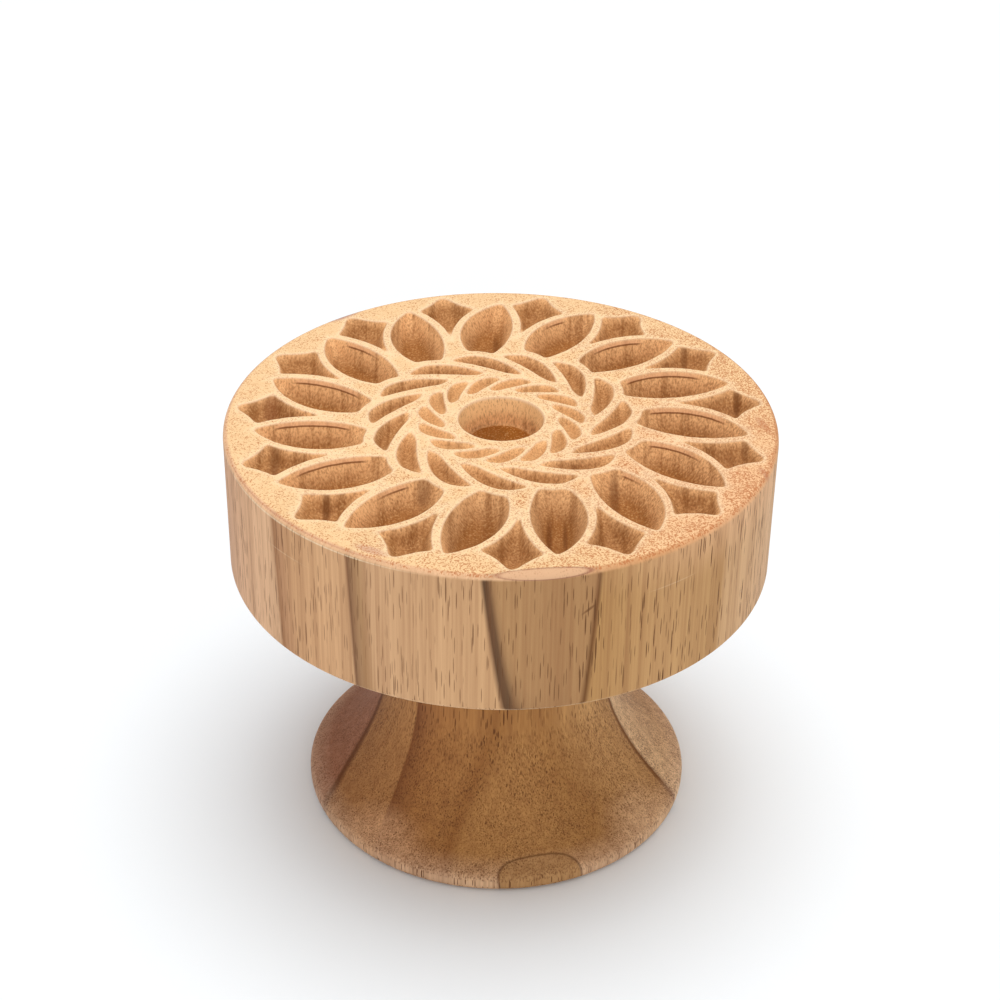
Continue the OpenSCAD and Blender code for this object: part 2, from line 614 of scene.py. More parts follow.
    def fill(self, flat_radius: float) -> np.ndarray:
        """Fills the pockets with a fine grid of points and the lands with a coarse one.

        Args:
            flat_radius: Radius of the flat of the face.

        Returns:
            The points, one per row.
        """
        row_height = math.sqrt(0.75)
        count = int(2 * flat_radius / self.fill_spacing)
        rows = range(math.ceil(count / row_height) + 1)
        places = [(i + 0.5 * (j % 2), j * row_height) for j in rows for i in range(count)]
        grid = np.array(places) * self.fill_spacing - flat_radius
        grid = grid[np.linalg.norm(grid, axis=1) < flat_radius]
        inset = self.inset(grid)
        coarse = np.arange(len(grid)) % self.land_thinning == 0
        return grid[(inset > self.fill_gap) | (coarse & (inset < -self.fill_gap))]


@dataclass(frozen=True)
class WoodPlace:
    """Where a point lies in the wood, in mm, and how far up its surface faces."""

    tree: Tree
    grain: Socket
    across: Socket
    height: Socket
    up: Socket

    @classmethod
    def measured_in(cls, tree: Tree) -> "WoodPlace":
        """Adds the nodes that measure the place.

        Args:
            tree: The material's nodes.

        Returns:
            The sockets that hold the place.
        """
        place = add_node(tree, "TexCoord", output="Object")
        scale = (1 / MM, 1 / MM, 1 / MM)
        grain = add_node(tree, "VectorMath", {0: place, 1: scale}, operation="MULTIPLY")
        facing = add_node(tree, "TexCoord", output="Normal")
        parts = ((grain, "X"), (grain, "Z"), (facing, "Z"))
        return cls(tree, grain, *(add_node(tree, "SeparateXYZ", {0: v}, axis) for v, axis in parts))

    def in_grains(self, size: Triple) -> Socket:
        """Counts the place in grains of a size in mm, for a pattern of that size.

        Args:
            size: Length of a grain along X, Y and Z.

        Returns:
            The place to draw the pattern at.
        """
        scale = tuple(1 / length for length in size)
        return add_node(self.tree, "VectorMath", {0: self.grain, 1: scale}, operation="MULTIPLY")


class MarkForm(Enum):
    """How the outline of a mark runs."""

    ROUND = "round"
    SQUARED = "squared"


@dataclass(frozen=True)
class WoodOrLightMark:
    """A stain, a check or a knot in the wood, or a patch of painted light or shade.

    Each is a solid that shows where a surface cuts it.
    """

    tone: str
    share: float
    place: Triple
    size: Triple
    turn: Triple = (0, 0, 0)
    softness: float = 0.7
    form: MarkForm = MarkForm.ROUND
    hides_dots: bool = False

    def colour(self, at: WoodPlace, wood: Socket) -> Socket:
        """Draws the mark over the wood.

        Args:
            at: Place in the wood.
            wood: Colour of the wood round the mark.

        Returns:
            The colour of the wood with the mark.
        """
        angles = tuple(math.radians(angle) for angle in self.turn)
        box = {"Vector": at.grain, "Location": self.place, "Rotation": angles, "Scale": self.size}
        local = add_node(at.tree, "Mapping", box, vector_type="TEXTURE")
        ends = {**between((1 - self.softness, 1.0)), "To Min": self.share, "To Max": 0.0}
        ends["Value"] = self.reach(at.tree, local)
        part = add_node(at.tree, "MapRange", ends, interpolation_type="SMOOTHSTEP")
        tones = {0: part, 6: wood, 7: linear(self.tone)}
        return add_node(at.tree, "Mix", tones, 2, data_type="RGBA")

    def reach(self, tree: Tree, local: Socket) -> Socket:
        """Measures how far a place lies from the middle of the mark.

        Args:
            tree: The material's nodes.
            local: Place in the mark's own frame.

        Returns:
            The distance, which is 1 on the outline.
        """
        if self.form is MarkForm.ROUND:
            return add_node(tree, "VectorMath", {0: local}, "Value", operation="LENGTH")
        square = add_node(tree, "VectorMath", {0: local, 1: local}, operation="MULTIPLY")
        sides = {0: square, 1: square}
        fourth = add_node(tree, "VectorMath", sides, "Value", operation="DOT_PRODUCT")
        return add_node(tree, "Math", {0: fourth, 1: 0.25}, operation="POWER")


@dataclass(frozen=True)
class GrainLayer:
    """A cloudy pattern in cut wood, stretched to the size of its grains."""

    tone: str
    share: float
    size: Triple
    span: Pair

    def colour(self, at: WoodPlace, wood: Socket) -> Socket:
        """Draws the pattern over the wood.

        Args:
            at: Place in the wood.
            wood: Colour of the wood under the pattern.

        Returns:
            The colour of the wood with the pattern.
        """
        grains = {"Vector": at.in_grains(self.size), "Scale": 1.0, "Detail": 2.0}
        noise = add_node(at.tree, "TexNoise", grains, "Fac")
        ends = {"Value": noise, **between(self.span), "To Max": self.share}
        tones = {0: add_node(at.tree, "MapRange", ends), 6: wood, 7: linear(self.tone)}
        return add_node(at.tree, "Mix", tones, 2, data_type="RGBA")


@dataclass(frozen=True)
class CarvedTones:
    """Colours of the carved pockets, whose fresh cuts are darker than the sanded face.

    They also carry painted shade on the floors and in the cutter's line, and painted light on
    the lips and on the band above the line.
    """

    face_height: float
    line_depth: float
    # The lip tone is a painted highlight along the lips.
    lip: str
    lip_highlight_share: float
    wall: str
    # The floor tone is torn end grain, darkened further as painted shade.
    floor: str
    # The band tone is painted light and the line tone painted shade.
    band: str
    line: str
    layers: tuple[GrainLayer, ...]
    marks: tuple[WoodOrLightMark, ...]
    band_edge: float = 0.1
    lit_band_share: float = 0.6
    line_width: float = 0.14
    line_shade_share: float = 0.8
    dot_share: float = 0.3

    def colour(self, at: WoodPlace, wood: Socket, dots: Socket) -> Socket:
        """Colours the pockets over the wood round them.

        Args:
            at: Place in the wood.
            wood: Colour of the wood outside the pockets.
            dots: Share of the dots that the cut fibres leave.

        Returns:
            The colour of the whole piece.
        """
        tree = at.tree
        # The floors darken partly for torn end grain and partly as painted shade in the deep parts.
        sink = add_node(tree, "Attribute", output="Fac", attribute_name="floor_grain_and_shade")
        tones = {0: sink, 6: linear(self.wall), 7: linear(self.floor)}
        cut = add_node(tree, "Mix", tones, 2, data_type="RGBA")
        for pattern in (*self.layers, *self.marks):
            cut = pattern.colour(at, cut)
        speck = add_node(tree, "Math", {0: dots, 1: self.dot_share}, operation="MULTIPLY")
        tones = {0: speck, 6: cut, 7: linear(self.line)}
        cut = self.with_tool_line_shade_and_light(at, add_node(tree, "Mix", tones, 2, data_type="RGBA"))
        # Painted highlight on the lands along the lips of the pockets.
        near = add_node(tree, "Attribute", output="Fac", attribute_name="lip")
        worn = add_node(tree, "Math", {0: near, 1: self.lip_highlight_share}, operation="MULTIPLY")
        tones = {0: worn, 6: wood, 7: linear(self.lip)}
        wood = add_node(tree, "Mix", tones, 2, data_type="RGBA")
        carved = add_node(tree, "Attribute", output="Fac", attribute_name="carved")
        return add_node(tree, "Mix", {0: carved, 6: wood, 7: cut}, 2, data_type="RGBA")

    def with_tool_line_shade_and_light(self, at: WoodPlace, cut: Socket) -> Socket:
        """Draws the cutter's line on the far walls as painted shade, darker than its modelled step, and
        the paler band above it as painted light.

        Args:
            at: Place in the wood.
            cut: Colour of the pockets.

        Returns:
            The colour of the pockets with the line.
        """
        tree = at.tree
        depth = add_node(tree, "Math", {0: self.face_height, 1: at.height}, operation="SUBTRACT")
        away = add_node(tree, "Math", {0: depth, 1: self.line_depth}, operation="SUBTRACT")
        gap = add_node(tree, "Math", {0: away}, operation="ABSOLUTE")
        band_ends = (self.line_depth - self.band_edge, self.line_depth)
        line_ends = (self.line_width / 2, self.line_width)
        shared = add_node(tree, "Attribute", output="Fac", attribute_name="tool_line")
        for measure, ends, most, tone in (
            (depth, band_ends, self.lit_band_share, self.band),
            (gap, line_ends, self.line_shade_share, self.line),
        ):
            fall = {"Value": measure, **between(ends), "To Min": most, "To Max": 0.0}
            drawn = add_node(tree, "MapRange", fall)
            part = add_node(tree, "Math", {0: drawn, 1: shared}, operation="MULTIPLY")
            cut = add_node(tree, "Mix", {0: part, 6: cut, 7: linear(tone)}, 2, data_type="RGBA")
        return cut


@dataclass(frozen=True)
class Walnut:
    """Turned walnut, sanded and left bare, cut from a blank that takes in sapwood.

    The growth rings stand round a pith in front of the piece, so they show as upright stripes
    on the sides and as arcs on end grain. Long open pores show as dark dashes on the sides and
    as dots on end grain, and the bare surface has hardly any gloss.

    Each facing gives two values of the normal's Z between which a change runs. A fibre size is
    its width, length and darkness, and a pore size its spacing, length, width and darkness.
    """

    name: str
    left_rings: Rings
    right_rings: Rings
    pith: Pair
    pith_lean: float
    right_taper: float
    top: float
    end_grain: str
    end_share: float
    edge: str
    right_edge: str
    edge_share: float
    shade: str
    end_shade: str
    end_fibre_share: float
    pore: str
    end_pore: str
    pore_share: float
    end_pore_share: float
    left_pore_share: float
    speckle: str
    speckle_share: float
    speckle_from: float
    speckle_starts: Pair
    speckle_size: float
    marks: tuple[WoodOrLightMark, ...] = ()
    carving: CarvedTones | None = None
    ring_reach: float = 90
    ring_wander: float = 0.2
    wander_size: Triple = (7, 7, 45)
    ring_blend: float = 3
    end_facing: Pair = (0.80, 0.98)
    edge_facing: Pair = (0.08, 0.45)
    edge_span: Pair = (4.0, 18.0)
    fibre_facing: Pair = (0.05, 0.4)
    fibre_span: Pair = (0.36, 0.72)
    fibre_sizes: tuple[Triple, ...] = ((0.3, 18, 0.28), (1.2, 60, 0.30))
    patch_size: Triple = (3, 3, 20)
    speckle_rise: float = 0.15
    speckle_length: float = 4
    speckle_patch: float = 0.16
    speckle_lean: Triple = (1.0, -0.4, 0.0)
    speckle_span: Pair = (-15.0, 30.0)
    speckle_edge: float = 0.08
    pore_sizes: tuple[tuple[float, ...], ...] = ((0.27, 5, 0.075, 0.95), (0.55, 10, 0.11, 1.0))
    pore_core: float = 0.75
    pore_patches: Pair = (0.34, 0.54)
    least_pores: float = 0.35
    pore_span: Pair = (0.0, 15.0)
    relief: float = 0.35
    relief_depth: float = 0.08
    roughness: float = 0.7
    gloss: float = 0.12

    def material(self) -> bpy.types.Material:
        """Builds the material's nodes."""
        material = new_material(self.name)
        tree = material.node_tree
        at = WoodPlace.measured_in(tree)
        ends = {"Value": at.up, **between(self.end_facing)}
        flat = add_node(tree, "MapRange", ends, interpolation_type="SMOOTHSTEP")
        edge = self.edge_part(at, flat)
        wood = self.end_colour(at, self.ring_colour(at), flat, edge)
        for mark in self.marks:
            if not mark.hides_dots:
                wood = mark.colour(at, wood)
        fibre = self.fibres(at)
        shades = {0: flat, 6: linear(self.shade), 7: linear(self.end_shade)}
        shade = add_node(tree, "Mix", shades, 2, data_type="RGBA")
        wood = add_node(tree, "Mix", {0: fibre, 6: wood, 7: shade}, 2, data_type="RGBA")
        dots = self.speckles(at)
        ends = {"Value": at.up, "To Max": self.speckle_share}
        ends |= between((self.speckle_from, self.speckle_from + self.speckle_rise))
        level = add_node(tree, "MapRange", ends)
        speck = add_node(tree, "Math", {0: dots, 1: level}, operation="MULTIPLY")
        tones = {0: speck, 6: wood, 7: linear(self.speckle)}
        wood = add_node(tree, "Mix", tones, 2, data_type="RGBA")
        for mark in self.marks:
            if mark.hides_dots:
                wood = mark.colour(at, wood)
        if self.carving:
            wood = self.carving.colour(at, wood, dots)
        closed = add_node(tree, "Math", {0: 1.0, 1: edge}, operation="SUBTRACT")
        pores = add_node(tree, "Math", {0: self.pores(at), 1: closed}, operation="MULTIPLY")
        wood = self.pore_colour(tree, wood, flat, pores)
        height = add_node(tree, "Math", {0: pores, 1: fibre}, operation="ADD")
        surface = {"Strength": self.relief, "Distance": self.relief_depth * MM, "Height": height}
        look = {
            "Base Color": wood,
            "Roughness": self.roughness,
            "Specular IOR Level": self.gloss,
            "Normal": add_node(tree, "Bump", surface, invert=True),
        }
        finish_material(tree, add_node(tree, "BsdfPrincipled", look))
        return material

    def ring_colour(self, at: WoodPlace) -> Socket:
        """Colours the wood by its distance from the pith.

        Args:
            at: Place in the wood.

        Returns:
            The colour of the growth rings.
        """
        tree = at.tree
        lean = {0: at.height, 1: self.pith_lean, 2: self.pith[1]}
        middle = {"X": self.pith[0], "Z": at.height}
        middle["Y"] = add_node(tree, "Math", lean, operation="MULTIPLY_ADD")
        pith = add_node(tree, "CombineXYZ", middle)
        reach = add_node(tree, "VectorMath", {0: at.grain, 1: pith}, "Value", operation="DISTANCE")
        grains = {"Vector": at.in_grains(self.wander_size), "Scale": 1.0, "Detail": 2.0}
        drift = add_node(tree, "TexNoise", grains, "Fac")
        sway = {0: drift, 1: 2 * self.ring_wander, 2: -self.ring_wander}
        wander = add_node(tree, "Math", sway, operation="MULTIPLY_ADD")
        ring = add_node(tree, "Math", {0: reach, 1: wander}, operation="ADD")
        below = add_node(tree, "Math", {0: at.height, 1: self.top}, operation="SUBTRACT")
        colours = []
        for rings, taper in ((self.left_rings, 0.0), (self.right_rings, self.right_taper)):
            leaning = {0: below, 1: taper, 2: ring}
            reach = add_node(tree, "Math", leaning, operation="MULTIPLY_ADD")
            along = add_node(tree, "Math", {0: reach, 1: self.ring_reach}, operation="DIVIDE")
            stops = tuple((radius / self.ring_reach, tone) for radius, tone in rings)
            colours.append(add_node(tree, "ValToRGB", {0: along}, stops=stops))
        change = between((self.pith[0] - self.ring_blend, self.pith[0] + self.ring_blend))
        ends = {"Value": at.across, **change}
        right = add_node(tree, "MapRange", ends, interpolation_type="SMOOTHSTEP")
        return add_node(tree, "Mix", {0: right, 6: colours[0], 7: colours[1]}, 2, data_type="RGBA")

    def edge_part(self, at: WoodPlace, flat: Socket) -> Socket:
        """Finds the rounded edges, between the sides and the end grain.

        Args:
            at: Place in the wood.
            flat: Share of end grain.

        Returns:
            The share of the edges' own tone.
        """
        ends = {"Value": at.up, **between(self.edge_facing), "To Max": self.edge_share}
        rise = add_node(at.tree, "MapRange", ends, interpolation_type="SMOOTHSTEP")
        fall = add_node(at.tree, "Math", {0: 1.0, 1: flat}, operation="SUBTRACT")
        return add_node(at.tree, "Math", {0: rise, 1: fall}, operation="MULTIPLY")

    def end_colour(self, at: WoodPlace, wood: Socket, flat: Socket, edge: Socket) -> Socket:
        """Colours the end grain and the rounded edges, which differ from left to right.

        Args:
            at: Place in the wood.
            wood: Colour of the growth rings.
            flat: Share of end grain.
            edge: Share of the edges' own tone.

        Returns:
            The colour of the wood with its ends and edges.
        """
        tree = at.tree
        part = add_node(tree, "Math", {0: flat, 1: self.end_share}, operation="MULTIPLY")
        tones = {0: part, 6: wood, 7: linear(self.end_grain)}
        wood = add_node(tree, "Mix", tones, 2, data_type="RGBA")
        side = add_node(tree, "MapRange", {"Value": at.across, **between(self.edge_span)})
        tones = {0: side, 6: linear(self.edge), 7: linear(self.right_edge)}
        tone = add_node(tree, "Mix", tones, 2, data_type="RGBA")
        return add_node(tree, "Mix", {0: edge, 6: wood, 7: tone}, 2, data_type="RGBA")

    def fibres(self, at: WoodPlace) -> Socket:
        """Draws fine and broad upright streaks, fainter on end grain.

        Args:
            at: Place in the wood.

        Returns:
            The share of shade at each place.
        """
        shares = []
        for width, length, most in self.fibre_sizes:
            grains = {"Vector": at.in_grains((width, width, length)), "Scale": 1.0, "Detail": 3.0}
            noise = add_node(at.tree, "TexNoise", grains, "Fac")
            ends = {"Value": noise, **between(self.fibre_span), "To Max": most}
            shares.append(add_node(at.tree, "MapRange", ends))
        streaks = add_node(at.tree, "Math", {0: shares[0], 1: shares[1]}, operation="ADD")
        ends = {"Value": at.up, **between(self.fibre_facing)}
        ends |= {"To Min": 1.0, "To Max": self.end_fibre_share}
        calm = add_node(at.tree, "MapRange", ends)
        return add_node(at.tree, "Math", {0: streaks, 1: calm}, operation="MULTIPLY")

    def patches(self, at: WoodPlace) -> Socket:
        """Draws broad soft patches, which dots and pores follow."""
        grains = {"Vector": at.in_grains(self.patch_size), "Scale": 1.0, "Detail": 1.0}
        return add_node(at.tree, "TexNoise", grains, "Fac")

    def speckles(self, at: WoodPlace) -> Socket:
        """Draws the cut ends of the fibres as dots that can be denser on the right.

        Real fibres are far too fine to show, so the dots stand for bundles of them.

        Args:
            at: Place in the wood.

        Returns:
            The share of each place that is dot.
        """
        tree = at.tree
        size = (self.speckle_size, self.speckle_size, self.speckle_length * self.speckle_size)
        grains = {"Vector": at.in_grains(size), "Scale": 1.0, "Detail": 2.0}
        noise = add_node(tree, "TexNoise", grains, "Fac")
        sway = {0: self.patches(at), 1: self.speckle_patch, 2: noise}
        uneven = add_node(tree, "Math", sway, operation="MULTIPLY_ADD")
        sides = {0: at.grain, 1: self.speckle_lean}
        across = add_node(tree, "VectorMath", sides, "Value", operation="DOT_PRODUCT")
        left, right = [start + self.speckle_patch / 2 for start in self.speckle_starts]
        ends = {"Value": across, **between(self.speckle_span), "To Min": left, "To Max": right}
        start = add_node(tree, "MapRange", ends)
        excess = add_node(tree, "Math", {0: uneven, 1: start}, operation="SUBTRACT")
        return add_node(tree, "MapRange", {"Value": excess, "From Max": self.speckle_edge})

    def pores(self, at: WoodPlace) -> Socket:
        """Draws the open pores, a little wider than real ones so that they show.

        Args:
            at: Place in the wood.

        Returns:
            The share of each place that is pore.
        """
        tree = at.tree
        tubes = []
        for spacing, length, width, most in self.pore_sizes:
            cells = {"Vector": at.in_grains((spacing, spacing, length)), "Scale": 1.0}
            gap = add_node(tree, "TexVoronoi", cells, "Distance")
            wall = width / spacing
            ends = {"Value": gap, **between((self.pore_core * wall, wall))}
            ends |= {"To Min": most, "To Max": 0.0}
            tubes.append(add_node(tree, "MapRange", ends, interpolation_type="SMOOTHSTEP"))
        tube = add_node(tree, "Math", {0: tubes[0], 1: tubes[1]}, operation="MAXIMUM")
        ends = {"Value": self.patches(at), **between(self.pore_patches)}
        share = add_node(tree, "MapRange", ends | {"To Min": self.least_pores})
        ends = {"Value": at.across, **between(self.pore_span), "To Min": self.left_pore_share}
        side = add_node(tree, "MapRange", ends)
        share = add_node(tree, "Math", {0: share, 1: side}, operation="MULTIPLY")
        return add_node(tree, "Math", {0: tube, 1: share}, operation="MULTIPLY")

    def pore_colour(self, tree: Tree, wood: Socket, flat: Socket, pores: Socket) -> Socket:
        """Colours the open pores, which are darker on the sides than on end grain.

        Args:
            tree: The material's nodes.
            wood: Colour of the wood between the pores.
            flat: Share of end grain.
            pores: Share of each place that is pore.

        Returns:
            The colour of the wood with its pores.
        """
        ends = {"Value": flat, "To Min": self.pore_share, "To Max": self.end_pore_share}
        share = add_node(tree, "MapRange", ends)
        part = add_node(tree, "Math", {0: pores, 1: share}, operation="MULTIPLY")
        tones = {0: flat, 6: linear(self.pore), 7: linear(self.end_pore)}
        pore = add_node(tree, "Mix", tones, 2, data_type="RGBA")
        return add_node(tree, "Mix", {0: part, 6: wood, 7: pore}, 2, data_type="RGBA")


@dataclass(frozen=True)
class Beech:
    """Machined beech rod, left as it comes off the moulder: pale, plain and matt."""

    name: str = "machined_beech_dowel"
    wood: str = "#DDBB8C"
    fleck: str = "#B98E5C"
    fleck_size: Triple = (0.5, 0.5, 3.0)
    fleck_span: Pair = (0.45, 0.75)
    roughness: float = 0.7

    def material(self) -> bpy.types.Material:
        """Builds the material's nodes."""
        material = new_material(self.name)
        tree = material.node_tree
        place = WoodPlace.measured_in(tree).in_grains(self.fleck_size)
        fleck = add_node(tree, "TexNoise", {"Vector": place, "Scale": 1.0, "Detail": 2.0}, "Fac")
        share = add_node(tree, "MapRange", {"Value": fleck, **between(self.fleck_span)})
        tones = {0: share, 6: linear(self.wood), 7: linear(self.fleck)}
        wood = add_node(tree, "Mix", tones, 2, data_type="RGBA")
        look = {"Base Color": wood, "Roughness": self.roughness}
        finish_material(tree, add_node(tree, "BsdfPrincipled", look))
        return material


@dataclass(frozen=True)
class StudioPaper:
    """Matt white background paper, rolled smooth, which shows only soft shadows."""

    name: str = "white_studio_paper"
    paper: str = "#EEF2F5"
    roughness: float = 0.95
    gloss: float = 0.0

    def material(self) -> bpy.types.Material:
        """Builds the material's nodes."""
        material = new_material(self.name)
        look = {
            "Base Color": linear(self.paper),
            "Roughness": self.roughness,
            "Specular IOR Level": self.gloss,
        }
        tree = material.node_tree
        finish_material(tree, add_node(tree, "BsdfPrincipled", look))
        return material


# Tones of the head's growth rings outwards from the pith, as distance in mm and colour. They
# differ on the two sides of the pith, as they do where a tree grows unevenly.
HEAD_LEFT_RINGS: Rings = (
    (1.0, "#B48A5E"),
    (11.2, "#B48A5E"),
    (11.4, "#705238"),
    (12.0, "#5A402C"),
    (12.12, "#D0A478"),
    (24.6, "#D8AC82"),
    (26.0, "#B08860"),
    (27.0, "#A07A58"),
    (27.3, "#7E5A40"),
    (27.5, "#7E5A40"),
    (27.8, "#DCAE82"),
    (36.5, "#D6A67A"),
    (38.5, "#C0906A"),
    (39.4, "#A87A56"),
    (40.0, "#E8BC94"),
    (47.0, "#E2B48E"),
    (60.0, "#DCAE8E"),
    (75.0, "#C89A84"),
)
HEAD_RIGHT_RINGS: Rings = (
    (1.0, "#B48A5E"),
    (11.7, "#B0865A"),
    (11.82, "#64401F"),
    (11.98, "#64401F"),
    (12.08, "#B88C58"),
    (20.0, "#C89C6A"),
    (29.5, "#C09462"),
    (30.5, "#D6AC7E"),
    (41.0, "#E2B88E"),
    (60.0, "#E2B88E"),
    (75.0, "#C89C86"),
)
# Marks in the head: a redder patch on the right, a check beside a ring, purplish stains at the
# rim, a bare lens at the front, fine scratches on the sides, a darker line and under it a painted
# highlight along the top edge at the front left, and a painted highlight along the lower edge.
HEAD_MARKS = (
    WoodOrLightMark("#F0BE92", 0.8, (24.0, -14.0, 56.5), (26.0, 30.0, 8.0), softness=1.0),
    WoodOrLightMark("#6E4A2C", 0.8, (10.5, -33.4, 51.0), (1.6, 0.8, 0.25), (0, -36, 0)),
    WoodOrLightMark("#B98A86", 0.5, (-14.6, -30.2, 56.5), (3.2, 1.0, 1.5), (0, 0, -28)),
    WoodOrLightMark("#8C6A84", 0.65, (-21.8, 26.8, 56.2), (3.6, 1.2, 1.2), (0, 0, 39)),
    WoodOrLightMark("#B06A50", 0.5, (33.0, -0.6, 56.5), (0.8, 3.2, 1.2), (0, 0, 20)),
    WoodOrLightMark("#A8685A", 0.5, (32.2, -12.2, 56.5), (0.7, 1.8, 1.2), (0, 0, 24)),
    WoodOrLightMark("#94604E", 0.7, (7.4, -35.2, 56.5), (10.0, 2.4, 0.9), (0, 0, 4), 0.12, hides_dots=True),
    WoodOrLightMark("#E0B48C", 0.8, (7.4, -35.2, 56.5), (9.6, 2.15, 0.8), (0, 0, 4), 0.12, hides_dots=True),
    WoodOrLightMark("#F0D0A8", 0.35, (-25.6, -24.0, 51.7), (5.5, 5.5, 0.12)),
    WoodOrLightMark("#F0D0A8", 0.35, (20.5, -28.5, 51.3), (4.5, 4.5, 0.12)),
    # Painted highlight along the lower edge of the head, where the eased edge catches light.
    WoodOrLightMark("#F4D6AE", 0.5, (0.0, 0.0, 37.0), (60.0, 60.0, 0.6), softness=0.5),
    WoodOrLightMark("#C48A6E", 0.5, (-24.0, -22.0, 56.25), (22.0, 22.0, 0.1), softness=0.5),
    # Painted highlight along the foot of the top edge, under the darker line.
    WoodOrLightMark("#FBE3BE", 0.6, (-24.0, -22.0, 55.75), (22.0, 22.0, 0.14), softness=0.5),
)
# Torn grain in the pockets: broad upright streaks, then fine dark and light grains.
POCKET_LAYERS = (
    GrainLayer("#86501F", 0.5, (0.9, 12, 40), (0.50, 0.66)),
    GrainLayer("#7A4618", 0.45, (0.24, 0.24, 0.9), (0.46, 0.68)),
    GrainLayer("#F4C48A", 0.3, (0.24, 0.24, 0.9), (0.46, 0.30)),
)
# Dark upright bands where rings cross the pockets: share, X, Y, half width and half length.
POCKET_BANDS = (
    (0.75, 5.9, -22.5, 0.5, 4.5),
    (0.75, 7.8, -22.5, 0.45, 4.5),
    (0.7, -20.7, -19.0, 0.7, 3.5),
    (0.6, -9.2, -15.5, 1.4, 2.5),
    (0.6, 13.9, -14.5, 0.9, 4.5),
    (0.6, 24.3, 19.0, 0.7, 3.5),
    (0.7, 30.4, 7.0, 0.6, 3.5),
    (0.6, 30.4, -4.5, 0.7, 3.5),
    (0.6, -0.9, 24.5, 0.6, 3.5),
    (0.6, -27.8, -8.5, 0.9, 3.5),
)
# Marks in the pockets: paler wood round the eye and in the inner leaves, painted shadow on the
# eye's floor under its back wall, painted shade over the pockets at the front, a redder band on
# the left, and the dark bands.
POCKET_MARKS = (
    WoodOrLightMark("#FFD298", 0.65, (0.0, 0.0, 56.5), (7.5, 7.5, 3.4), softness=0.2),
    WoodOrLightMark("#F8C488", 0.3, (0.0, 0.0, 56.5), (13.0, 13.0, 3.5), softness=0.3),
    # Painted shadow on the eye's floor, under its back wall.
    WoodOrLightMark("#5A2A08", 0.3, (-2.4, 2.2, 52.9), (4.2, 4.5, 0.6), softness=0.6),
    # Painted shade over the pockets at the front of the face.
    WoodOrLightMark("#6A3A12", 0.18, (2.0, -22.5, 54.5), (17.0, 9.0, 7.0), softness=0.5),
    WoodOrLightMark("#7A3E1A", 0.5, (-29.3, 4.0, 54.5), (1.6, 3.5, 7.0)),
    *(
        WoodOrLightMark("#6A3A12", share, (x, y, 54.5), (width, length, 7.0))
        for share, x, y, width, length in POCKET_BANDS
    ),
)


